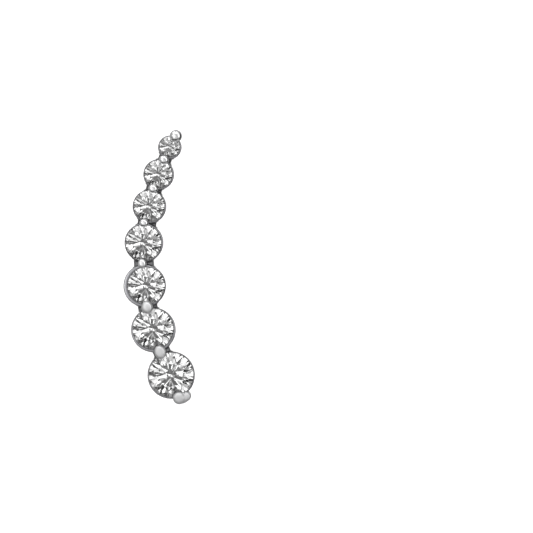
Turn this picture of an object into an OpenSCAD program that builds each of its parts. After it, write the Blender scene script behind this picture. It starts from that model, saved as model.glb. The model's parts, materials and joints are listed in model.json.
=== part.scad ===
// Ear climber: a curved row of seven graduated round stones in cups, with a plain ear wire behind it.
// Millimetres. The stones face +Z, the row runs along +Y from its foot (largest stone) to its tip, and
// the ear wire lies along the plane z = 0. The origin is under the middle of the row's outline.

/* [Stones] */
// Diameter of the largest stone, at the foot of the row
stone_d = 3.25; // [2.8:0.05:4]
// Width of a stone's table from corner to corner, as a share of its diameter
table_share = 0.56; // [0.52:0.01:0.62]
// Slope of the crown's kite facets in degrees
crown_angle = 35; // [32:0.5:36]
// Slope of the pavilion's main facets in degrees
pavilion_angle = 40.9; // [40:0.1:42]
// Height of the girdle, as a share of a stone's diameter
girdle_share = 0.032; // [0.028:0.001:0.045]
// Turn of every stone in its cup, in degrees to the left
facet_turn = 12.8; // [0:0.1:45]

/* [Cups] */
// Metal that shows round each stone
rim_w = 0.075; // [0.05:0.005:0.12]
// Height of the largest cup's straight band, below the girdle
band_h = 0.65; // [0.4:0.05:0.8]
// Outer diameter of the largest cup's foot
foot_d = 2.3; // [2:0.05:2.6]
// Diameter of the hole through the largest cup's foot
light_hole_d = 1.3; // [1:0.05:1.5]
// Metal that reaches past the largest stone's point
culet_guard = 0.2; // [0.1:0.05:0.4]
// Play between a stone and its seat
stone_play = 0.02; // [0.01:0.005:0.03]

/* [Row] */
// Widest space between two cups
cup_gap = 0.4; // [0.34:0.01:0.55]
// Width of the widest bar between two cups
bar_w = 1.5; // [1.2:0.05:1.6]
// Height of the bars
bar_t = 0.5; // [0.4:0.05:0.6]
// Depth of the bars below the girdles
bar_drop = 0.3; // [0.2:0.05:0.4]

/* [Prongs] */
// Diameter of the largest prong's bead, at the foot of the row
bead_d = 0.94; // [0.85:0.01:1.05]
// Height of the largest bead above the girdles
bead_rise = 0.6; // [0.55:0.01:0.75]

/* [Ear wire] */
// Diameter of the ear wire
wire_d = 0.8; // [0.7:0.05:1]
// Clear space for the ear, between the wire and the largest cup
ear_gap = 4.4; // [4.2:0.1:6]
// Bend radius at the wire's centre line
bend_r = 1.2; // [1:0.1:1.8]
// Radius of the wire's curved run behind the row
run_r = 17; // [16:0.5:24]
// Angle that the run curves through
run_turn = 46; // [36:1:48]
// Direction in which the wire leaves its bend, in degrees left of +Y
run_heading = 27.5; // [24:0.5:32]
// Length of the wire's slimmer, straight end
tip_len = 3.4; // [3:0.1:4]
// Diameter of that end
tip_d = 0.74; // [0.6:0.01:0.78]
// Depth of the drilled socket that holds the post
socket_depth = 0.9; // [0.6:0.05:1]
// Wall round the socket
boss_wall = 0.22; // [0.18:0.01:0.3]
// Play between the post and its socket
post_play = 0.01; // [0.005:0.005:0.02]

/* [Hidden] */
$fn = 96;

// The row from its tip to its foot. Columns: the stone's diameter as a share of stone_d, the direction of
// the next stone in degrees left of straight down, the space to the next cup as a share of cup_gap, the
// bar's width and its shift to the left as shares of bar_w, the bead below the stone as a share of bead_d
// and bead_rise, its shifts to the left and down the row as shares of bead_d, and the cup's extra metal
// and its shifts to the left and down as shares of stone_d.
ROW = [
    [0.455,  22.5, 0.66, 0.66, -0.02, 0.78, 0.01,  0.08, 0.014, [-0.006, 0.014]],
    [0.620,  16.2, 0.34, 0.79,  0.00, 0.77, 0.06, -0.05, 0.012, [-0.009, 0.010]],
    [0.690,   9.0, 0.38, 0.91, -0.02, 0.72, 0.18,  0.00, 0.009, [-0.007, 0.015]],
    [0.800,  -3.7, 0.87, 0.97,  0.05, 0.70, 0.19,  0.00, 0.012, [-0.011, 0.000]],
    [0.830,  -8.7, 0.54, 0.95,  0.10, 0.90, 0.18,  0.00, 0.039, [ 0.037, 0.006]],
    [0.910, -21.3, 0.93, 0.85,  0.03, 0.90, 0.13,  0.00, 0.024, [-0.007, 0.031]],
    [1.000, -19.5, 0.00, 0.00,  0.00, 1.00, 0.00,  0.00, 0.011, [ 0.000, 0.016]]
];
SIZE = 0;
TURN = 1;
GAP = 2;
BAR = 3;
BAR_LEFT = 4;
BEAD = 5;
BEAD_LEFT = 6;
BEAD_DOWN = 7;
RIM = 8;
SHIFT = 9;
tip = 0;
foot = len(ROW) - 1;

// The tip's bead: its size, its direction in degrees right of straight up
tip_bead = 0.96;
tip_bead_turn = 31;
// End beads stand out of their cup by this share of their radius
end_bead_out = 0.1;
// The foot's second, smaller bead: its size and its shifts to the right and up, as shares of the foot's bead
side_bead = 0.76;
side_bead_out = [0.55, 0.12];

// Facets of a round brilliant: eight sectors, each with a kite, a star, two upper and two lower halves
sectors = 8;
half = 180 / sectors;
arc_steps = 4;
star_share = 0.52;
lower_share = 0.785;

// Reach of a bar into a cup's wall, past the line where its corners meet the cup
bar_bite = 0.12;
// Post of the ear wire: its distance from the largest cup's middle, as a share of the foot's radius
post_share = 0.87;
// Length of boss that stands out behind the largest cup
boss_drop = 0.45;
// Length of the wire's slim end that lies inside the run, and the slim end's height above the plane z = 0
tip_bite = 0.3;
tip_lift = 0.005;
// Steps in the profile of a rounded end
dome_steps = 6;
// Chamfer along the outer edge of a cup's rim
rim_chamfer = 0.03;
// A bead's dome is this share of its radius high. A prong's lower end has this share of the radius, in a
// bar and where it runs down a cup by itself, and narrows over this many radii for a whole radius
dome_share = 0.6;
bar_end = 0.9;
free_end = 0.4;
prong_taper = 2.4;
// The foot's prongs run down its cup for this share of the cup's height
foot_prong_share = 0.65;
// Boolean cuts run past the faces that they open by this much
over = 0.5;

function stone_r(i) = stone_d * ROW[i][SIZE] / 2;
function girdle_h(i) = stone_d * ROW[i][SIZE] * girdle_share;
function cup_r(i) = stone_r(i) + rim_w + stone_d * ROW[i][RIM];
function cup_shift(i) = -stone_d * ROW[i][SHIFT];
function down(turn) = [-sin(turn), -cos(turn)];
function step(i) = (stone_r(i) + stone_r(i + 1) + 2 * rim_w + cup_gap * ROW[i][GAP]) * down(ROW[i][TURN]);
function chain(i) = i == tip ? [0, 0] : chain(i - 1) + step(i - 1);

// Heights in a stone and its cup, measured from the middle of the girdle
function crown_h(i) = girdle_h(i) / 2 + stone_r(i) * (1 - table_share) * tan(crown_angle);
function culet_h(i) = girdle_h(i) / 2 + stone_r(i) * tan(pavilion_angle);
function cup_h(i) = culet_h(i) + culet_guard * ROW[i][SIZE];
girdle_z = wire_d + ear_gap + cup_h(foot);

// Places of the end beads, from the middle of the nearest stone
tip_bead_at = (cup_r(tip) + end_bead_out * tip_bead * bead_d / 2) * -down(tip_bead_turn);
foot_bead_at = (cup_r(foot) + end_bead_out * bead_d / 2) * down(ROW[foot][TURN]);
side_bead_at = foot_bead_at + side_bead_out * bead_d;

// The outline of the row as seen from the front, whose middle stands over the origin
lows = concat([for (i = [tip:foot]) chain(i) + cup_shift(i) - cup_r(i) * [1, 1]],
              [chain(foot) + foot_bead_at - bead_d / 2 * [1, 1]]);
highs = concat([for (i = [tip:foot]) chain(i) + cup_shift(i) + cup_r(i) * [1, 1]],
               [chain(tip) + tip_bead_at + tip_bead * bead_d / 2 * [1, 1]],
               [chain(foot) + side_bead_at + side_bead * bead_d / 2 * [1, 1]]);
row_low = [min([for (p = lows) p.x]), min([for (p = lows) p.y])];
row_high = [max([for (p = highs) p.x]), max([for (p = highs) p.y])];
function place(i) = chain(i) - (row_low + row_high) / 2;

post_at = place(foot) + post_share * foot_d / 2 * down(ROW[foot][TURN]);
wire_r = wire_d / 2;
boss_r = wire_r + post_play + boss_wall;
socket_z = girdle_z - cup_h(foot) - boss_drop;
post_h = socket_z + socket_depth - post_play - wire_r - bend_r;
run_start = post_at + bend_r * [-sin(run_heading), cos(run_heading)];
tip_r = tip_d / 2;

// Radius and height of the corner between two kites, and of the corner between two pavilion mains
function star_r(r) = r * (table_share * cos(half) * (1 - star_share) + star_share);
function star_h(r, g) = g / 2 + (r - star_r(r) * cos(half)) * tan(crown_angle);
function main_r(r) = r * (1 - lower_share);
function main_h(r, g) = g / 2 + (r - main_r(r) * cos(half)) * tan(pavilion_angle);

// Height of the girdle's edge at an angle within a half sector: the edge follows the plane through the
// half facet's inner corner and the two points of the girdle where the facet starts and ends
function edge_h(r, g, inner_r, inner_h, a) =
    g / 2 - (inner_h - g / 2) / (r * cos(half / 2) - inner_r * cos(half / 2)) * r
            * (cos(abs(a) - half / 2) - cos(half / 2));

function polar(r, a, z) = [r * cos(a), r * sin(a), z];

module brilliant(r, g) {
    n = sectors * 2 * arc_steps;
    sr = star_r(r);
    sh = star_h(r, g);
    mr = main_r(r);
    mh = main_h(r, g);
    crown = g / 2 + r * (1 - table_share) * tan(crown_angle);
    culet = g / 2 + r * tan(pavilion_angle);
    // Angle within the nearest sector, from -half to half, of the girdle's point k
    fold = [for (k = [0:n - 1]) (k % (2 * arc_steps) <= arc_steps ? k % (2 * arc_steps)
                                  : k % (2 * arc_steps) - 2 * arc_steps) * half / arc_steps];
    points = concat(
        [for (s = [0:sectors - 1]) polar(table_share * r, 2 * half * s, crown)],
        [for (s = [0:sectors - 1]) polar(sr, 2 * half * s + half, sh)],
        [for (k = [0:n - 1]) polar(r, k * half / arc_steps, edge_h(r, g, sr, sh, fold[k]))],
        [for (k = [0:n - 1]) polar(r, k * half / arc_steps, -edge_h(r, g, mr, mh, fold[k]))],
        [for (s = [0:sectors - 1]) polar(mr, 2 * half * s + half, -mh)],
        [[0, 0, -culet]]
    );
    star = sectors;
    top = 2 * sectors;
    low = top + n;
    main = low + n;
    point = main + sectors;
    function before(s) = (s + sectors - 1) % sectors;
    function after(s) = (s + 1) % sectors;
    // Points of the girdle's upper or lower edge along half facet h, two to a sector
    function edge(ring, h) = [for (k = [h * arc_steps:(h + 1) * arc_steps]) ring + k % n];
    function back(list) = [for (k = [len(list) - 1:-1:0]) list[k]];
    faces = concat(
        [back([for (s = [0:sectors - 1]) s])],
        [for (s = [0:sectors - 1]) [star + s, s, after(s)]],
        [for (s = [0:sectors - 1]) [star + before(s), s, star + s, top + 2 * arc_steps * s]],
        [for (s = [0:sectors - 1], h = [2 * s, 2 * s + 1]) concat([star + s], back(edge(top, h)))],
        [for (k = [0:n - 1]) [top + k, top + (k + 1) % n, low + (k + 1) % n, low + k]],
        [for (s = [0:sectors - 1], h = [2 * s, 2 * s + 1]) concat([main + s], edge(low, h))],
        [for (s = [0:sectors - 1]) [point, main + before(s), low + 2 * arc_steps * s, main + s]]
    );
    polyhedron(points, faces);
}

module stone(i) {
    color("aliceblue")
        translate([place(i).x, place(i).y, girdle_z])
            rotate([0, 0, facet_turn]) brilliant(stone_r(i), girdle_h(i));
}

// Room for a stone with its play, a turned shape that every corner of the stone fits into
module stone_room(i) {
    r = stone_r(i);
    g = girdle_h(i);
    p = stone_play;
    rotate_extrude() polygon([
        [0, -culet_h(i) - p],
        [main_r(r) + p, -main_h(r, g) - p],
        [r + p, -g / 2 - p],
        [r + p, g / 2 + p],
        [star_r(r) + p, star_h(r, g) + p],
        [table_share * r + p, crown_h(i) + p],
        [table_share * r + p, crown_h(i) + over],
        [0, crown_h(i) + over]
    ]);
}

// A cup's body, open at the back, still solid where the stone goes. Its rim ends under the girdle
module cup(i) {
    share = ROW[i][SIZE];
    r = cup_r(i);
    top = -girdle_h(i) / 2 - stone_play;
    difference() {
        rotate_extrude() polygon([
            [0, top],
            [r - rim_chamfer, top],
            [r, top - rim_chamfer],
            [r, -band_h * share],
            [foot_d / 2 * share, -cup_h(i)],
            [0, -cup_h(i)]
        ]);
        translate([0, 0, -cup_h(i) - over]) cylinder(d = light_hole_d * share, h = cup_h(i) + over);
    }
}

// A prong: a round shank with a domed top, whose lower end narrows to a share of its radius
module prong(share, low, end) {
    r = bead_d / 2 * share;
    rise = bead_rise * share;
    dome = dome_share * r;
    turns = [for (k = [0:dome_steps]) 90 * k / dome_steps];
    rotate_extrude() polygon(concat(
        [[0, -low], [end * r, -low], [r, -low + (1 - end) * prong_taper * r]],
        [for (a = turns) [r * cos(a), rise - dome * (1 - sin(a))]]
    ));
}

// The bar and the shared prong between a stone and the next one down
module link(i) {
    w = bar_w * ROW[i][BAR];
    full = norm(step(i));
    near = sqrt(pow(cup_r(i), 2) - pow(w / 2, 2)) - bar_bite;
    far = full - sqrt(pow(cup_r(i + 1), 2) - pow(w / 2, 2)) + bar_bite;
    mid = (cup_r(i) + full - cup_r(i + 1)) / 2;
    rotate([0, 0, -ROW[i][TURN]]) {
        translate([-w / 2 - ROW[i][BAR_LEFT] * bar_w, -far, -bar_drop - bar_t])
            cube([w, far - near, bar_t]);
        translate([-ROW[i][BEAD_LEFT] * bead_d, -mid - ROW[i][BEAD_DOWN] * bead_d, 0])
            prong(ROW[i][BEAD], bar_drop + bar_t / 2, bar_end);
    }
}

module setting() {
    color("silver") difference() {
        union() {
            for (i = [tip:foot])
                translate([place(i).x + cup_shift(i).x, place(i).y + cup_shift(i).y, girdle_z]) cup(i);
            for (i = [tip:foot - 1])
                translate([place(i).x, place(i).y, girdle_z]) link(i);
            translate([place(tip).x + tip_bead_at.x, place(tip).y + tip_bead_at.y, girdle_z])
                prong(tip_bead, cup_h(tip), free_end);
            for (bead = [[foot_bead_at, 1], [side_bead_at, side_bead]])
                translate([place(foot).x + bead[0].x, place(foot).y + bead[0].y, girdle_z])
                    prong(bead[1], cup_h(foot) * foot_prong_share, free_end);
            translate([post_at.x, post_at.y, socket_z])
                cylinder(r = boss_r, h = boss_drop + cup_h(foot) / 2);
        }
        for (i = [tip:foot])
            translate([place(i).x, place(i).y, girdle_z]) stone_room(i);
        translate([post_at.x, post_at.y, socket_z - over])
            cylinder(r = wire_r + post_play, h = over + socket_depth);
    }
}

// The wire's own frame: the run starts at the origin along +Y, with the post behind it, and curves to
// the right about a centre on the X axis
module ear_wire() {
    turns = [for (k = [0:dome_steps]) 90 * k / dome_steps];
    color("silver") translate([run_start.x, run_start.y, wire_r]) rotate([0, 0, run_heading]) {
        translate([0, -bend_r, bend_r]) cylinder(r = wire_r, h = post_h);
        translate([0, 0, bend_r]) rotate([-90, 0, -90])
            rotate_extrude(angle = 90) translate([bend_r, 0]) circle(r = wire_r);
        translate([run_r, 0, 0]) rotate([0, 0, 180])
            rotate_extrude(angle = -run_turn) translate([run_r, 0]) circle(r = wire_r);
        translate([run_r, 0, tip_r + tip_lift - wire_r]) rotate([0, 0, -run_turn])
            translate([-run_r, -tip_bite, 0]) rotate([-90, 0, 0]) rotate_extrude() polygon(concat(
                [[0, 0], [tip_r, 0]],
                [for (a = turns) [tip_r * cos(a), tip_bite + tip_len - tip_r * (1 - sin(a))]]
            ));
    }
}

setting();
ear_wire();
stone(0);  // stone_1
stone(1);  // stone_2
stone(2);  // stone_3
stone(3);  // stone_4
stone(4);  // stone_5
stone(5);  // stone_6
stone(6);  // stone_7
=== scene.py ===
"""Ear climber: a curved row of seven graduated round stones in a cast white-gold setting, on its ear wire."""
import json

import bpy
import numpy as np
from mathutils import Matrix, Vector

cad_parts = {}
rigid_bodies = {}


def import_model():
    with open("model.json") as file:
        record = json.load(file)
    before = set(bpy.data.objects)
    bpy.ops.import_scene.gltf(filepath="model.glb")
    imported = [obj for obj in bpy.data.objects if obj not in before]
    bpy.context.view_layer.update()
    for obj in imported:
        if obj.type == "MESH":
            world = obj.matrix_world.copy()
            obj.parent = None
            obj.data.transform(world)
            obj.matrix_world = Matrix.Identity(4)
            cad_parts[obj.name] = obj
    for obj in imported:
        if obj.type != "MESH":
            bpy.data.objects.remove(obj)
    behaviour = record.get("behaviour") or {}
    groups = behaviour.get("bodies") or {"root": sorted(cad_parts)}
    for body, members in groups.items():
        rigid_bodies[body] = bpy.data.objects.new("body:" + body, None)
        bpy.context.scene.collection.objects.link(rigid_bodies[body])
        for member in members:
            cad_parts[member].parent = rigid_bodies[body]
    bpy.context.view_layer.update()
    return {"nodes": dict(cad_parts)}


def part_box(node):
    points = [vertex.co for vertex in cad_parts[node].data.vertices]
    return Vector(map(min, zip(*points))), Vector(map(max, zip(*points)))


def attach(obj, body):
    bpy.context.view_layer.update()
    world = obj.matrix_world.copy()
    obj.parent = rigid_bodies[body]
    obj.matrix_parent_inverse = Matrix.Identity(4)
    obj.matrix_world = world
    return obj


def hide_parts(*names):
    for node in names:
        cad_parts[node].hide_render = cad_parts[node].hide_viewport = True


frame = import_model()

# The row: seven round stones lie in one plane, largest at the foot. Everything cast round them takes its
# place from them, so their middles and radii are read first, and the height of their girdles with them.
MM = 0.001
STONES = 7
CROWN_PART = 0.2665  # of a stone's height, what lies above the middle of its girdle
GIRDLE = 0.032  # height of the girdle, as a share of a stone's diameter
corners = np.array([[tuple(corner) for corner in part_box(f"stone_{i + 1}")] for i in range(STONES)]) / MM
stone_at = corners.mean(axis=1)[:, :2]
stone_r = (corners[:, 1] - corners[:, 0])[:, :2].max(axis=1) / 2
stone_tall = corners[:, 1, 2] - corners[:, 0, 2]
girdle_z = (corners[:, 1, 2] - CROWN_PART * stone_tall).mean()
share = stone_r / stone_r[-1]


# The cups: each stone sits in a turned cup with a straight band, a body that narrows to its foot and a
# light hole behind the stone. They are cast in white gold in one piece with the bars and prongs.
RIM = 0.075  # least metal outside a stone's girdle
# Each cup, as shares of the foot stone's diameter: metal over the least rim, and how far the cup's middle
# lies right of its stone's and above it
WIDER = np.array([0.014, 0.012, 0.009, 0.012, 0.039, 0.024, 0.011])
SHIFT = np.array([[0.006, -0.014], [0.009, -0.010], [0.007, -0.015], [0.011, 0.0],
                  [-0.037, -0.006], [0.007, -0.031], [0.0, -0.016]])
BAND = 0.65
FOOT_R = 1.15
LIGHT_HOLE_R = 0.65
GUARD = 0.2
PLAY = 0.02
RIM_ROUND = 0.085
SIDES = 96
foot_d = 2 * stone_r[-1]
cup_r = stone_r + RIM + foot_d * WIDER
cup_at = stone_at + foot_d * SHIFT
culet = stone_tall * (1 - CROWN_PART)
cup_h = culet + GUARD * share
girdle_h = GIRDLE * 2 * stone_r


def softened(outline, cuts, steps=6):
    """Rounds the corners of a closed outline. Near a corner C the outline leaves its sides at the points A
    and B, both a cut's length from C, and follows (1-t)^2 A + 2t(1-t) C + t^2 B for t from 0 to 1."""
    c = np.array(outline, float)
    cut = np.array(cuts, float)[:, None]
    to_last, to_next = np.roll(c, 1, axis=0) - c, np.roll(c, -1, axis=0) - c
    a = c + to_last / np.linalg.norm(to_last, axis=1, keepdims=True) * cut
    b = c + to_next / np.linalg.norm(to_next, axis=1, keepdims=True) * cut
    t = np.linspace(0, 1, steps)[None, :, None]
    return ((1 - t) ** 2 * a[:, None] + 2 * t * (1 - t) * c[:, None] + t ** 2 * b[:, None]).reshape(-1, 2)


def turned(outline, middle, sides=SIDES):
    """Rings of a turned form: the outline's point (r, z) goes round the middle (x, y) as
    (x + r cos a, y + r sin a, z) for equal steps of the angle a."""
    r, z = np.asarray(outline, float).T[:, :, None]
    a = np.linspace(0, 2 * np.pi, sides, endpoint=False)
    return np.stack([middle[0] + r * np.cos(a), middle[1] + r * np.sin(a), z + 0 * a], axis=-1)


def skin(name, rings, ring_shaped=False):
    """A closed mesh through rings of points, shape (rings, sides, 3), in millimetres. Quads join each ring to
    the next. The last ring meets the first, or else a fan to each end ring's middle closes the ends."""
    n, sides = rings.shape[:2]
    rows = np.arange(n if ring_shaped else n - 1)[:, None]
    k = np.arange(sides)
    after, up = (k + 1) % sides, (rows + 1) % n
    quads = np.stack([rows * sides + k, rows * sides + after, up * sides + after, up * sides + k], -1)
    points, faces = rings.reshape(-1, 3), quads.reshape(-1, 4).tolist()
    if not ring_shaped:
        points = np.vstack([points, rings[0].mean(axis=0), rings[-1].mean(axis=0)])
        last = (n - 1) * sides
        faces += np.stack([after, k, np.full(sides, n * sides)], -1).tolist()
        faces += np.stack([last + k, last + after, np.full(sides, n * sides + 1)], -1).tolist()
    mesh = bpy.data.meshes.new(name)
    mesh.from_pydata((points * MM).tolist(), [], faces)
    mesh.update()
    piece = bpy.data.objects.new(name, mesh)
    bpy.context.scene.collection.objects.link(piece)
    outward(mesh)
    return piece


def outward(mesh):
    """Turns a closed mesh so that its faces point outwards: its signed volume, the sum of a . (b x c) / 6
    over its triangles, is above zero."""
    mesh.calc_loop_triangles()
    at = np.empty(len(mesh.vertices) * 3)
    mesh.vertices.foreach_get("co", at)
    corner = np.empty(len(mesh.loop_triangles) * 3, np.int32)
    mesh.loop_triangles.foreach_get("vertices", corner)
    a, b, c = at.reshape(-1, 3)[corner.reshape(-1, 3)].transpose(1, 0, 2)
    if np.einsum("ij,ij->", a, np.cross(b, c)) < 0:
        mesh.flip_normals()


def cup(i):
    top, low = girdle_z - girdle_h[i] / 2 - PLAY, girdle_z - cup_h[i]
    foot, hole = FOOT_R * share[i], LIGHT_HOLE_R * share[i]
    outline = softened([[hole, top], [hole, low], [foot, low], [cup_r[i], girdle_z - BAND * share[i]],
                        [cup_r[i], top]], [0.0, 0.06, 0.09, 0.16 * share[i], RIM_ROUND])
    return skin(f"cup_{i + 1}", turned(outline, cup_at[i]), ring_shaped=True)


# The bars: a short flat bar joins each cup to the next, set below the girdles. Its sides swell softly
# into the cups, the way metal runs into a cast corner.
WIDEST_BAR = 1.5
BAR_W = WIDEST_BAR * np.array([0.66, 0.79, 0.91, 0.97, 0.95, 0.85])
BAR_LEFT = WIDEST_BAR * np.array([-0.02, 0.0, -0.02, 0.05, 0.1, 0.03])
BAR_T = 0.5
BAR_DROP = 0.3
BAR_BITE = 0.12
SWELL = 0.13
BOXY = 0.45  # exponent of the bar's section: 1 is an ellipse, 0 a sharp box


def run_in(distance, reach):
    """How far metal stands out at the distance d from a wall: the quarter circle
    reach (1 - sqrt(1 - (1 - d/reach)^2))."""
    near = np.clip(1 - distance / reach, 0, 1)
    return reach * (1 - np.sqrt(1 - near ** 2))


def bar(i):
    """A section x = a cos^e, z = b sin^e carried straight from cup to cup. Each point moves out along the
    section's normal by the run-in at its own distance from the nearer cup's wall."""
    way = stone_at[i + 1] - stone_at[i]
    full = np.linalg.norm(way)
    way = way / full
    left = np.array([way[1], -way[0]])
    a, b = BAR_W[i] / 2, BAR_T / 2
    near = np.sqrt(cup_r[i] ** 2 - a ** 2) - BAR_BITE
    far = full - np.sqrt(cup_r[i + 1] ** 2 - a ** 2) + BAR_BITE
    t = np.linspace(0, 2 * np.pi, 64, endpoint=False)[None, :]
    across = a * np.sign(np.cos(t)) * np.abs(np.cos(t)) ** BOXY
    height = b * np.sign(np.sin(t)) * np.abs(np.sin(t)) ** BOXY
    along = np.linspace(near, far, 36)[:, None]
    flat = stone_at[i] + way * along[..., None] + left * (across + BAR_LEFT[i])[..., None]
    wall = np.minimum(np.linalg.norm(flat - cup_at[i], axis=-1) - cup_r[i],
                      np.linalg.norm(flat - cup_at[i + 1], axis=-1) - cup_r[i + 1])
    out = run_in(wall, SWELL)
    norm_x, norm_z = across / a ** 2, height / b ** 2
    size = np.hypot(norm_x, norm_z)
    flat = flat + left * (out * norm_x / size)[..., None]
    z = girdle_z - BAR_DROP - b + height + out * norm_z / size
    return skin(f"bar_{i + 1}", np.concatenate([flat, z[..., None]], axis=-1))


# The prongs: a round shank rises out of each bar and ends in a domed bead that reaches over the edges of
# both stones. One more bead closes the row's tip and two its foot, on shanks that run down the cup.
BEAD_D = 0.94  # the foot's bead
BEAD_R = BEAD_D / 2 * np.array([0.78, 0.77, 0.72, 0.70, 0.90, 0.90])
BEAD_LEFT = BEAD_D * np.array([0.01, 0.06, 0.18, 0.19, 0.18, 0.13])
BEAD_DOWN = BEAD_D * np.array([0.08, -0.05, 0.0, 0.0, 0.0, 0.0])
BEAD_LONG = np.array([0.9, 0.9, 0.9, 1.12, 1.12, 1.2])  # length along the row, over width
RISE = 0.6 / 0.47  # a bead's height above the girdles, over its radius
DOME = 0.6
BLUNT = np.array([0.8, 0.8, 0.8, 0.8, 0.7, 0.55, 0.9, 0.6, 0.6, 0.5])  # exponent of a bead's profile
# Whose cup; direction in degrees from the row's up towards its right; shift right and up and size, as shares
# of the foot's bead; reach down the cup; share of the full rise. The foot's three beads run together.
END_BEADS = [(0, 31.0, 0.0, 0.0, 0.96, 1.0, 1.0), (6, 160.5, 0.0, 0.0, 1.0, 0.65, 1.0),
             (6, 160.5, 0.55, 0.12, 0.76, 0.65, 1.0), (6, 160.5, 0.27, 0.01, 0.89, 0.6, 0.96)]
BEAD_OUT = 0.045  # how far the end beads' middles stand outside their cups
BAR_END, FREE_END, TAPER = 0.9, 0.4, 2.4
PRONG_RUN_IN = 0.08


def prong(name, middle, r, depth, end, floor_z=None, rise=RISE, way=(0, 1), longer=1.0, blunt=1.0):
    """A turned shank whose low end narrows to a share of its radius, under a dome r cos^e t, D r sin^e t. Its
    points then move apart along the row: p + (longer - 1) (p - middle) . w w, for the row's direction w."""
    t = np.linspace(0, np.pi / 2, 14)[:-1]
    lift = np.linspace(0, 1, 22)
    narrow = (1 - end) * TAPER * r
    shank_z = -depth + (rise * r - DOME * r + depth) * lift
    shank_r = r * (end + (1 - end) * np.clip((shank_z + depth) / narrow, 0, 1))
    if floor_z is not None:
        shank_r = shank_r + np.where(shank_z > floor_z, run_in(shank_z - floor_z, PRONG_RUN_IN), PRONG_RUN_IN)
    dome = np.stack([r * np.cos(t) ** blunt, rise * r - DOME * r * (1 - np.sin(t) ** blunt)], -1)[1:]
    outline = np.vstack([np.stack([shank_r, shank_z], -1), dome]) + [0, girdle_z]
    rings = turned(outline, middle, 64)
    rings[..., :2] += (longer - 1) * ((rings[..., :2] - middle) @ np.array(way))[..., None] * way
    return skin(name, rings)


def row_prong(i):
    way = stone_at[i + 1] - stone_at[i]
    full = np.linalg.norm(way)
    way = way / full
    left = np.array([way[1], -way[0]])
    along = (cup_r[i] + full - cup_r[i + 1]) / 2 + BEAD_DOWN[i]
    middle = stone_at[i] + way * along + left * BEAD_LEFT[i]
    return middle, prong(f"prong_{i + 1}", middle, BEAD_R[i], BAR_DROP + BAR_T / 2, BAR_END, -BAR_DROP,
                         way=way, longer=BEAD_LONG[i], blunt=BLUNT[i])


# The boss: a short drilled tube cast on the back of the largest cup, which holds the ear wire's post.
WIRE_R = 0.4
POST_PLAY = 0.01
BOSS_WALL = 0.22
BOSS_DROP = 0.45
SOCKET = 0.9
wire_low, wire_high = np.array([tuple(corner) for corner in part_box("ear_wire")]) / MM
post_at = np.array([wire_high[0] - WIRE_R, wire_low[1] + WIRE_R])
socket_z = girdle_z - cup_h[-1] - BOSS_DROP


def boss():
    bore, wall = WIRE_R + POST_PLAY, WIRE_R + POST_PLAY + BOSS_WALL
    outline = softened([[bore, socket_z + SOCKET], [bore, socket_z], [wall, socket_z],
                        [wall, socket_z + BOSS_DROP + cup_h[-1] / 2]], [0.0, 0.03, 0.07, 0.0])
    return skin("boss", turned(outline[6:], post_at, 64))


# Casting: cups, bars, prongs and boss come out of the mould as one piece. Each stone's seat is then cut
# with a bur of the stone's own shape, so the prongs' inner sides follow the stones too.
TABLE = 0.56
MAIN_CORNER = 0.215  # radius of the pavilion mains' upper corners, as a share of the stone's
STAR_CORNER = 0.768  # radius of the kites' side corners, as a share of the stone's
CROWN_SLOPE = np.tan(np.radians(35.0))
BACK_SLOPE = np.tan(np.radians(40.9))
HALF = np.cos(np.radians(22.5))


def seat_cutter(i):
    r, g = stone_r[i], girdle_h[i] / 2
    back, crown = stone_tall[i] * (1 - CROWN_PART), stone_tall[i] * CROWN_PART
    outline = np.array([
        [0.004, -back - PLAY],
        [MAIN_CORNER * r + PLAY, -g - (r - MAIN_CORNER * r * HALF) * BACK_SLOPE - PLAY],
        [r + PLAY, -g - PLAY], [r + PLAY, g + PLAY],
        [STAR_CORNER * r + PLAY, g + (r - STAR_CORNER * r * HALF) * CROWN_SLOPE + PLAY],
        [TABLE * r + PLAY, crown + PLAY], [TABLE * r + PLAY, crown + 0.5]]) + [0, girdle_z]
    return skin(f"seat_{i + 1}", turned(outline, stone_at[i]))


def fuse(piece, others, how):
    """Joins other closed forms to a piece, or cuts them out of it, and drops them."""
    for other in others:
        step = piece.modifiers.new("step", "BOOLEAN")
        step.operation, step.solver, step.object = how, "MANIFOLD", other
        done = bpy.data.meshes.new_from_object(piece.evaluated_get(bpy.context.evaluated_depsgraph_get()))
        piece.modifiers.clear()
        piece.data = done
        bpy.data.objects.remove(other)


def end_prong(k):
    whose, turn, right, up, size, reach, rise = END_BEADS[k]
    way = np.array([np.sin(np.radians(turn)), np.cos(np.radians(turn))])
    middle = stone_at[whose] + way * (cup_r[whose] + BEAD_OUT) + BEAD_D * np.array([right, up])
    return middle, prong(f"end_prong_{k + 1}", middle, BEAD_D / 2 * size, cup_h[whose] * reach, FREE_END,
                         rise=RISE * rise, blunt=BLUNT[STONES - 1 + k])


prongs = [row_prong(i) for i in range(STONES - 1)] + [end_prong(k) for k in range(len(END_BEADS))]
bead_at = np.array([middle for middle, _ in prongs])
bead_r = np.append(BEAD_R, [BEAD_D / 2 * bead[4] for bead in END_BEADS])
cast_setting = cup(0)
cast_setting.name = "cast_setting"
fuse(cast_setting, [cup(i) for i in range(1, STONES)] + [bar(i) for i in range(STONES - 1)]
     + [piece for _, piece in prongs] + [boss()], "UNION")
fuse(cast_setting, [seat_cutter(i) for i in range(STONES)], "DIFFERENCE")

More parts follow.
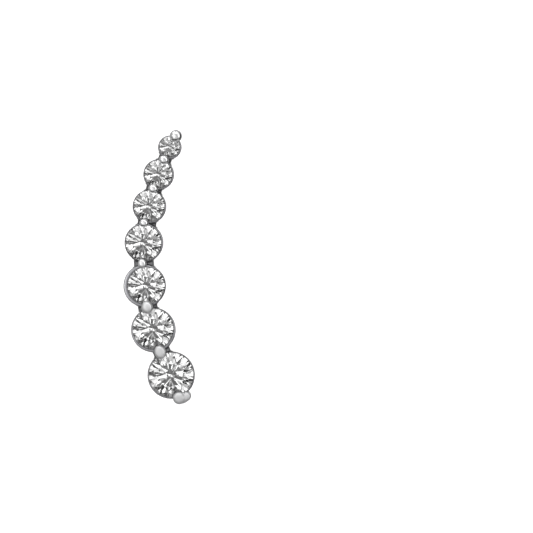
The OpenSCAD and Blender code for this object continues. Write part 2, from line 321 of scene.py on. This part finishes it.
# White gold as cast and polished. The beads at the foot keep a satin skin. Painted shade darkens the corners
# between cups and bars, the rims' tops are painted a darker grey, and a painted dark line runs round each
# stone and along the cups' outer edges, all found from the piece's own points.
FOOT_BEADS = slice(STONES, STONES + 3)  # in bead_at: the three that run together
SATIN = np.array([0.0, 0.0, 0.0, 0.25, 0.7, 0.9, 0.0, 1.0, 1.0, 1.0])  # of each bead in bead_at
RIM_DEPTH, EDGE_DEPTH, NOOK_DEPTH = 0.16, 0.15, 0.08  # below the girdles
NOOK_FADE, LINE_SHADE_FADE, EDGE_FADE = 0.5, 0.05, 0.045  # distance over which the painted shade thins out
SATIN_FROM, SATIN_OVER = -0.25, 0.2  # height where the satin begins, and over which it grows full
SATIN_REACH, SATIN_EDGE = 1.6, 0.3  # how far it goes from a bead's middle and how soft it ends, in radii
NOOK_OVER, NEAR = 0.14, 0.012  # depth over which the painted shade in nooks grows dark, and what still counts as on a face
CLOUDS, GRAIN = 700.0, 9000.0  # per metre


def surface_points():
    """The setting's points in millimetres, how far each lies from the beads' middles in shares of their
    radii, and how far outside the stones' seats."""
    at = np.empty(len(cast_setting.data.vertices) * 3)
    cast_setting.data.vertices.foreach_get("co", at)
    at = at.reshape(-1, 3) / MM
    beads = np.linalg.norm(at[:, None, :2] - bead_at, axis=-1) / bead_r
    seats = np.linalg.norm(at[:, None, :2] - stone_at, axis=-1) - stone_r - PLAY
    return at, beads, seats


def soften_foot():
    """Evens out the creases between the foot's beads, by moving each point towards its neighbours' middle."""
    at, beads, seats = surface_points()
    lump = (beads[:, FOOT_BEADS].min(axis=1) < 1.1) & (at[:, 2] > girdle_z - 0.3) & (seats.min(axis=1) > 0.03)
    group = cast_setting.vertex_groups.new(name="foot_lump")
    group.add(np.flatnonzero(lump).tolist(), 1.0, "REPLACE")
    smooth = cast_setting.modifiers.new("soften", "SMOOTH")
    smooth.factor, smooth.iterations, smooth.vertex_group = 0.5, 30, group.name
    done = bpy.data.meshes.new_from_object(cast_setting.evaluated_get(bpy.context.evaluated_depsgraph_get()))
    cast_setting.modifiers.clear()
    cast_setting.vertex_groups.clear()
    cast_setting.data = done


soften_foot()
cast_setting.data.name = "cast_setting"
cast_setting.data.shade_smooth()
cast_setting.data.set_sharp_from_angle(angle=np.radians(32))
points, from_bead, from_seat = surface_points()
on_top = np.clip((points[:, 2] - girdle_z - SATIN_FROM) / SATIN_OVER, 0, 1)[:, None]
satin = (SATIN * on_top * np.clip((SATIN_REACH - from_bead) / SATIN_EDGE, 0, 1)).max(axis=1)
from_wall = np.sort(np.linalg.norm(points[:, None, :2] - cup_at, axis=-1) - cup_r, axis=1)
below = girdle_z - points[:, 2]
# Painted shade: the base colour darkens in the corners near a neighbouring cup, more the deeper below the
# girdles.
deep = np.clip((below - NOOK_DEPTH) / NOOK_OVER, 0, 1)
nook_shade = np.exp(-np.clip(from_wall[:, 1], 0, None) / NOOK_FADE) * deep
on_rim = (below < RIM_DEPTH) & (below > -NEAR) & (from_seat.min(axis=1) > -NEAR)
# Painted shadow: a dark line on the rim next to each stone's seat; painted shade along the cups' outer edges
# joins it.
painted_line_shade = np.exp(-np.clip(from_seat.min(axis=1), 0, None) / LINE_SHADE_FADE) * on_rim
edge = np.exp(-np.abs(from_wall[:, 0]) / EDGE_FADE) * ((below < EDGE_DEPTH) & (below > -NEAR))
painted_line_shade = np.maximum(painted_line_shade, edge * 0.9)
nook_shade[~on_rim & (from_seat.min(axis=1) < 0) & (below > 0)] = 0  # the seats get no painted shade
for layer, amount in (("satin", satin), ("nook_shade", nook_shade), ("painted_line_shade", painted_line_shade), ("rim", on_rim * 1.0)):
    cast_setting.data.attributes.new(layer, "FLOAT", "POINT").data.foreach_set("value", amount)


class Amount:
    """A number that varies over a surface: one socket, on which + - * / add a Math node."""

    def __init__(self, sheet, socket):
        self.sheet, self.socket = sheet, socket

    def maths(self, how, first, second):
        return self.sheet.add("ShaderNodeMath", {"operation": how}, {0: first, 1: second})

    def __add__(self, other):
        return self.maths("ADD", self, other)

    def __sub__(self, other):
        return self.maths("SUBTRACT", self, other)

    def __rsub__(self, other):
        return self.maths("SUBTRACT", other, self)

    def __mul__(self, other):
        return self.maths("MULTIPLY", self, other)

    __radd__ = __add__
    __rmul__ = __mul__


class Sheet:
    """The node tree of a material or of the room."""

    def __init__(self, tree):
        self.tree = tree
        tree.nodes.clear()

    def add(self, kind, settings, sockets, out=0):
        """Adds a node: its settings are set first, then its sockets get their values or links."""
        node = self.tree.nodes.new(kind)
        for key, value in settings.items():
            setattr(node, key, value)
        for key, value in sockets.items():
            if isinstance(value, Amount):
                self.tree.links.new(value.socket, node.inputs[key])
            else:
                node.inputs[key].default_value = value
        return Amount(self, node.outputs[out]) if node.outputs else None

    def ramp(self, amount, low, high, to_low=0.0, to_high=1.0):
        """Takes amounts between low and high smoothly to others."""
        return self.add("ShaderNodeMapRange", {"interpolation_type": "SMOOTHSTEP"},
                        {0: amount, 1: low, 2: high, 3: to_low, 4: to_high})

    def mix(self, amount, one, other):
        """A colour between two colours."""
        return self.add("ShaderNodeMix", {"data_type": "RGBA"}, {0: amount, 6: one, 7: other}, 2)


def material(name):
    made = bpy.data.materials.new(name)
    made.use_nodes = True
    return made, Sheet(made.node_tree)


def polished_casting():
    made, sheet = material("setting_metal")
    place = sheet.add("ShaderNodeTexCoord", {}, {}, "Object")
    satin = sheet.add("ShaderNodeAttribute", {"attribute_name": "satin"}, {}, "Fac")
    nook_shade = sheet.add("ShaderNodeAttribute", {"attribute_name": "nook_shade"}, {}, "Fac")
    cloud = sheet.add("ShaderNodeTexNoise", {}, {"Vector": place, "Scale": CLOUDS, "Detail": 3.0})
    grain = sheet.add("ShaderNodeTexNoise", {}, {"Vector": place, "Scale": GRAIN, "Detail": 4.0})
    painted_line_shade = sheet.add("ShaderNodeAttribute", {"attribute_name": "painted_line_shade"}, {}, "Fac")
    # Painted shade: in the corners between cups and bars the base colour darkens towards dark grey, and the
    # metal roughens there too.
    corner_shade = sheet.ramp(nook_shade * (cloud + 0.55), 0.12, 0.6)
    bright = sheet.mix(cloud, (0.86, 0.865, 0.88, 1), (0.93, 0.93, 0.93, 1))
    satin_tone = sheet.mix(satin * 0.9, bright, (0.76, 0.76, 0.765, 1))
    rim = sheet.add("ShaderNodeAttribute", {"attribute_name": "rim"}, {}, "Fac")
    # Painted shade: the rims' tops get a darker grey base colour than the rest of the polished metal.
    shaded_rim_tone = sheet.mix(rim, satin_tone, (0.52, 0.52, 0.54, 1))
    corner_shaded_tone = sheet.mix(corner_shade * 0.9, shaded_rim_tone, (0.15, 0.15, 0.155, 1))
    # Painted shadow: a near-black line round each stone and along the cups' outer edges.
    tone = sheet.mix(painted_line_shade * 0.85, corner_shaded_tone, (0.08, 0.08, 0.085, 1))
    rough = 0.15 + 0.07 * cloud + 0.06 * grain + 0.33 * satin + 0.2 * corner_shade
    height = grain * (0.25 + 1.2 * satin) + cloud * 0.8
    bump = sheet.add("ShaderNodeBump", {}, {"Strength": 0.35, "Distance": 0.000001, "Height": height})
    metal = sheet.add("ShaderNodeBsdfPrincipled", {}, {
        "Base Color": tone, "Roughness": rough, "Normal": bump, "Metallic": 1.0})
    sheet.add("ShaderNodeOutputMaterial", {}, {"Surface": metal})
    return made


cast_setting.data.materials.clear()
cast_setting.data.materials.append(polished_casting())
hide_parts("setting")
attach(cast_setting, "root")


# The ear wire: round drawn white-gold wire, bent at a right angle below the boss. It runs in one long
# curve behind the row and ends in a slimmer straight end with a round tip, which slides through the ear.
BEND_R = 1.2
RUN_R = 17.0
RUN_TURN = np.radians(46)
HEADING = np.radians(27.5)
TIP_LEN = 3.4
TIP_BITE = 0.3
TIP_R = 0.37
TIP_LIFT = 0.005
SHOULDER = 0.9


def wire_route():
    """The wire's middle line, its heading and its radius. It goes down the post, through a quarter circle,
    along an arc that turns right, and straight on to the tip, whose radius follows sqrt(1 - x^2)."""
    top = socket_z + SOCKET - POST_PLAY
    start = post_at + BEND_R * np.array([-np.sin(HEADING), np.cos(HEADING)])
    post_z = np.linspace(top, WIRE_R + BEND_R, 14)[:-1]
    quarter = np.linspace(0, np.pi / 2, 20)
    run = np.linspace(0, RUN_TURN, 120)[1:]
    end = np.linspace(0, TIP_LEN - TIP_BITE, 60)[1:]
    round_tip = TIP_LEN - TIP_BITE - TIP_R + TIP_R * np.sin(np.linspace(0, np.pi / 2, 10)[:-1])
    end = np.concatenate([end[end < TIP_LEN - TIP_BITE - TIP_R], round_tip])
    ahead = np.array([-np.sin(HEADING), np.cos(HEADING)])
    right = np.array([np.cos(HEADING), np.sin(HEADING)])
    bend = post_at + ahead * (BEND_R * (1 - np.cos(quarter)))[:, None]
    arc = start + right * (RUN_R * (1 - np.cos(run)))[:, None] + ahead * (RUN_R * np.sin(run))[:, None]
    last = -np.sin(HEADING - RUN_TURN), np.cos(HEADING - RUN_TURN)
    tail = arc[-1] + np.array(last) * end[:, None]
    flat = np.vstack([np.repeat(post_at[None], len(post_z), 0), bend, arc, tail])
    slim = np.clip(end / SHOULDER, 0, 1)
    slim = slim * slim * (3 - 2 * slim)
    low = TIP_R + TIP_LIFT
    z = np.concatenate([post_z, WIRE_R + BEND_R * (1 - np.sin(quarter)), np.full(len(run), WIRE_R),
                        WIRE_R + (low - WIRE_R) * slim])
    over = np.clip((end - (TIP_LEN - TIP_BITE - TIP_R)) / TIP_R, 0, 1)
    r = np.concatenate([np.full(len(post_z) + len(quarter) + len(run), WIRE_R),
                        (WIRE_R + (TIP_R - WIRE_R) * slim) * np.sqrt(1 - over ** 2)])
    r[0] -= 0.05
    heading = np.concatenate([np.full(len(post_z) + len(quarter), HEADING), HEADING - run,
                              np.full(len(end), HEADING - RUN_TURN)])
    return np.column_stack([flat, z]), heading, r


def bent_wire():
    """Rings round the route: side cos a + lift sin a, with side level and square to the heading and lift
    square to both side and the route."""
    route, heading, r = wire_route()
    along = np.gradient(route, axis=0)
    along /= np.linalg.norm(along, axis=1, keepdims=True)
    side = np.column_stack([np.cos(heading), np.sin(heading), 0 * heading])
    lift = np.cross(side, along)
    lift /= np.linalg.norm(lift, axis=1, keepdims=True)
    a = np.linspace(0, 2 * np.pi, 48, endpoint=False)[None, :, None]
    rings = route[:, None] + r[:, None, None] * (side[:, None] * np.cos(a) + lift[:, None] * np.sin(a))
    wire = skin("bent_wire", rings)
    length = np.concatenate([[0], np.cumsum(np.linalg.norm(np.diff(route, axis=0), axis=1))])
    round_share = np.broadcast_to(np.linspace(0, 1, 48, endpoint=False), rings.shape[:2]).ravel()
    for layer, amount in (("along", np.append(np.repeat(length, 48), [0, length[-1]])),
                          ("round", np.append(np.abs(round_share * 2 - 1), [0, 0]))):
        wire.data.attributes.new(layer, "FLOAT", "POINT").data.foreach_set("value", amount)
    wire.data.shade_smooth()
    wire.data.set_sharp_from_angle(angle=np.radians(40))
    return wire


def drawn_wire():
    made, sheet = material("wire_metal")
    along = sheet.add("ShaderNodeAttribute", {"attribute_name": "along"}, {}, "Fac")
    around = sheet.add("ShaderNodeAttribute", {"attribute_name": "round"}, {}, "Fac")
    lines_at = sheet.add("ShaderNodeCombineXYZ", {}, {0: along * 0.35, 1: around * 46.0})
    lines = sheet.add("ShaderNodeTexNoise", {}, {"Vector": lines_at, "Scale": 1.0, "Detail": 3.0})
    place = sheet.add("ShaderNodeTexCoord", {}, {}, "Object")
    cloud = sheet.add("ShaderNodeTexNoise", {}, {"Vector": place, "Scale": 450.0, "Detail": 3.0})
    worn = sheet.ramp(cloud, 0.45, 0.7)
    tone = sheet.mix(lines, (0.80, 0.80, 0.815, 1), (0.91, 0.91, 0.91, 1))
    rough = 0.09 + 0.12 * lines + 0.06 * worn
    height = lines + 0.3 * cloud
    bump = sheet.add("ShaderNodeBump", {}, {"Strength": 0.4, "Distance": 0.000001, "Height": height})
    metal = sheet.add("ShaderNodeBsdfPrincipled", {}, {
        "Base Color": tone, "Roughness": rough, "Normal": bump, "Metallic": 1.0})
    sheet.add("ShaderNodeOutputMaterial", {}, {"Surface": metal})
    return made


ear_wire = bent_wire()
ear_wire.data.materials.append(drawn_wire())
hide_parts("ear_wire")
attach(ear_wire, "root")


# The stones: colourless round brilliants, ground and polished all over. Their girdles stay finely frosted
# from bruting, and the facets carry the faintest polishing haze.
def brilliant_cut():
    made, sheet = material("clear_stone")
    level = sheet.add("ShaderNodeSeparateXYZ", {}, {
        0: sheet.add("ShaderNodeNewGeometry", {}, {}, "True Normal")}, "Z")
    edge = 1 - sheet.ramp(level * level, 0.02, 0.06)
    place = sheet.add("ShaderNodeTexCoord", {}, {}, "Object")
    frost = sheet.add("ShaderNodeTexNoise", {}, {"Vector": place, "Scale": 14000.0, "Detail": 3.0})
    haze = sheet.add("ShaderNodeTexNoise", {}, {"Vector": place, "Scale": 900.0, "Detail": 2.0})
    tone = sheet.mix(edge * (0.35 + 0.4 * frost), (1.0, 1.0, 1.0, 1), (0.86, 0.87, 0.88, 1))
    rough = 0.3 * edge * (0.5 + frost) + 0.004 * haze
    glass = sheet.add("ShaderNodeBsdfPrincipled", {}, {
        "Base Color": tone, "Roughness": rough, "IOR": 2.42, "Transmission Weight": 1.0})
    sheet.add("ShaderNodeOutputMaterial", {}, {"Surface": glass})
    return made


clear_stone = brilliant_cut()
for i in range(STONES):
    node = frame["nodes"][f"stone_{i + 1}"]
    for part in [node] + list(node.children_recursive):
        if part.type == "MESH":
            for slot in part.material_slots:
                slot.material = clear_stone


# The room: the climber lies on a white lit table in a pale room, under soft boxes and dark cards. Two panels
# light the table and the metal, and a black card stands at the right, which the polished beads mirror.
ROOM = 0.56
BELOW = 0.34
STRAIGHT_DOWN = 0.6
# Degrees from straight up towards +X and towards +Y, half angle, softness, light added
SOFT_BOXES = [(-14, 58, 22, 16, 1.3), (16, 40, 14, 8, 0.25), (6, 30, 5, 8, 2.4), (32, 10, 16, 10, 1.6),
              (-22, 9, 5, 4, 1.6), (-14, -4, 4, 6, 2.0)]
DARK_CARDS = [(-50, -38, 16, 12, -2.0), (6, -4, 9, 6, -1.2), (4, 12, 9, 14, -1.5), (-38, -15, 9, 6, -0.6),
              (-10, -32, 19, 11, -1.0), (34, -30, 4, 8, -2.0), (-2, 68, 6, 8, -2.0)]


def lit_room():
    world = bpy.data.worlds.new("room")
    world.use_nodes = True
    bpy.context.scene.world = world
    sheet = Sheet(world.node_tree)
    way = sheet.add("ShaderNodeTexCoord", {}, {}, "Generated")
    height = sheet.add("ShaderNodeSeparateXYZ", {}, {0: way}, "Z")
    light = sheet.ramp(height, -0.12, 0.12, BELOW, ROOM) + sheet.ramp(height, -0.6, -0.85, 0.0, STRAIGHT_DOWN)
    for right, on, half, soft, amount in SOFT_BOXES + DARK_CARDS:
        lean, turn = np.radians(np.hypot(right, on)), np.arctan2(on, right)
        middle = (np.sin(lean) * np.cos(turn), np.sin(lean) * np.sin(turn), np.cos(lean))
        near = sheet.add("ShaderNodeVectorMath", {"operation": "DOT_PRODUCT"}, {0: way, 1: middle}, "Value")
        begins, full = np.cos(np.radians(half + soft)), np.cos(np.radians(half))
        light = light + sheet.ramp(near, begins, full, 0.0, amount)
    glow = sheet.add("ShaderNodeBackground", {}, {"Strength": sheet.add(
        "ShaderNodeMath", {"operation": "MAXIMUM"}, {0: light, 1: 0.03})})
    sheet.add("ShaderNodeOutputWorld", {}, {"Surface": glow})


TABLE_R = 0.5
COVE_R = 0.6


def white_table():
    """A turned sheet: flat out to the table's edge, then a quarter circle up, so that no horizon shows."""
    turn = np.linspace(0, np.pi / 2, 24)
    cove = np.stack([TABLE_R + COVE_R * np.sin(turn), COVE_R * (1 - np.cos(turn))], -1)
    outline = np.vstack([[[0.05, 0.0]], cove])
    rings = turned(outline, (0.0, 0.0), 64)
    n, sides = rings.shape[:2]
    k, rows = np.arange(sides), np.arange(n - 1)[:, None]
    after = (k + 1) % sides
    faces = np.stack([rows * sides + k, (rows + 1) * sides + k, (rows + 1) * sides + after,
                      rows * sides + after], -1).reshape(-1, 4).tolist()
    faces += np.stack([k, after, np.full(sides, n * sides)], -1).tolist()
    mesh = bpy.data.meshes.new("table")
    mesh.from_pydata(rings.reshape(-1, 3).tolist() + [[0.0, 0.0, 0.0]], [], faces)
    mesh.shade_smooth()
    table = bpy.data.objects.new("table", mesh)
    bpy.context.scene.collection.objects.link(table)
    made, sheet = material("white_table")
    place = sheet.add("ShaderNodeTexCoord", {}, {}, "Object")
    cloud = sheet.add("ShaderNodeTexNoise", {}, {"Vector": place, "Scale": 30.0, "Detail": 2.0})
    surface = sheet.add("ShaderNodeBsdfPrincipled", {}, {
        "Base Color": sheet.mix(cloud, (0.9, 0.9, 0.9, 1), (0.93, 0.93, 0.93, 1)), "Roughness": 0.6,
        "Emission Color": (1, 1, 1, 1), "Emission Strength": 0.45})
    sheet.add("ShaderNodeOutputMaterial", {}, {"Surface": surface})
    mesh.materials.append(made)
    table.visible_glossy = table.visible_transmission = table.visible_shadow = False


# Degrees from straight up towards +X and towards +Y, distance, width and brightness
PANELS = [(-15, -3, 0.30, 0.27, 0.65), (-60, -30, 0.35, 0.16, 0.5)]
BLACK_CARD = (0.25, 0.24)  # how far to the right it stands, and its height


def panel(name, right, on, distance, size, bright):
    """A panel of area A and power P has the brightness P / (pi A)."""
    lean, turn = np.radians(np.hypot(right, on)), np.arctan2(on, right)
    way = Vector((np.sin(lean) * np.cos(turn), np.sin(lean) * np.sin(turn), np.cos(lean)))
    light = bpy.data.lights.new(name, "AREA")
    light.size, light.energy = size, bright * np.pi * size ** 2
    lamp = bpy.data.objects.new(name, light)
    lamp.location = way * distance
    lamp.rotation_euler = way.to_track_quat("Z", "Y").to_euler()
    lamp.visible_camera = lamp.visible_transmission = False
    bpy.context.scene.collection.objects.link(lamp)


def black_card():
    """A standing rectangle that faces the row."""
    x, high = BLACK_CARD
    mesh = bpy.data.meshes.new("black_card")
    mesh.from_pydata([(x, -x, 0), (x, x, 0), (x, x, high), (x, -x, high)], [], [(0, 3, 2, 1)])
    card = bpy.data.objects.new("black_card", mesh)
    bpy.context.scene.collection.objects.link(card)
    made, sheet = material("black_card")
    felt = sheet.add("ShaderNodeBsdfPrincipled", {}, {"Base Color": (0.01, 0.01, 0.01, 1), "Roughness": 1.0})
    sheet.add("ShaderNodeOutputMaterial", {}, {"Surface": felt})
    mesh.materials.append(made)
    card.visible_camera = card.visible_transmission = card.visible_diffuse = card.visible_shadow = False


lit_room()
white_table()
black_card()
for k, sizes in enumerate(PANELS):
    panel(f"panel_{k + 1}", *sizes)


# The camera: a long lens nearly straight above the row, leaning a little towards its tip.
LENS = 200.0
SENSOR = 36.0
IMAGE = 533
VIEW_WIDE = 39.0  # millimetres across the image, at the girdles
LEAN = np.radians(4.2)
TURN = np.radians(186)
FOOT_STONE_PX = (171.1, 374.8)


def look_down():
    back = Vector((np.sin(LEAN) * np.sin(TURN), -np.sin(LEAN) * np.cos(TURN), np.cos(LEAN)))
    up = (Vector((0, 1, 0)) - back * back.y).normalized()
    right = up.cross(back)
    px = VIEW_WIDE / IMAGE
    aim = Vector((*stone_at[-1], girdle_z))
    aim += right * (IMAGE / 2 - FOOT_STONE_PX[0]) * px + up * (FOOT_STONE_PX[1] - IMAGE / 2) * px
    place = (aim + back * VIEW_WIDE * LENS / SENSOR) * MM
    lens = bpy.data.cameras.new("camera")
    lens.lens, lens.sensor_width, lens.clip_start = LENS, SENSOR, 0.005
    camera = bpy.data.objects.new("camera", lens)
    camera.matrix_world = Matrix.Translation(place) @ Matrix((right, up, back)).transposed().to_4x4()
    bpy.context.scene.collection.objects.link(camera)
    bpy.context.scene.camera = camera


look_down()
scene = bpy.context.scene
scene.view_settings.view_transform = "Standard"
scene.cycles.max_bounces = 24
scene.cycles.transmission_bounces = 24
scene.cycles.glossy_bounces = 8
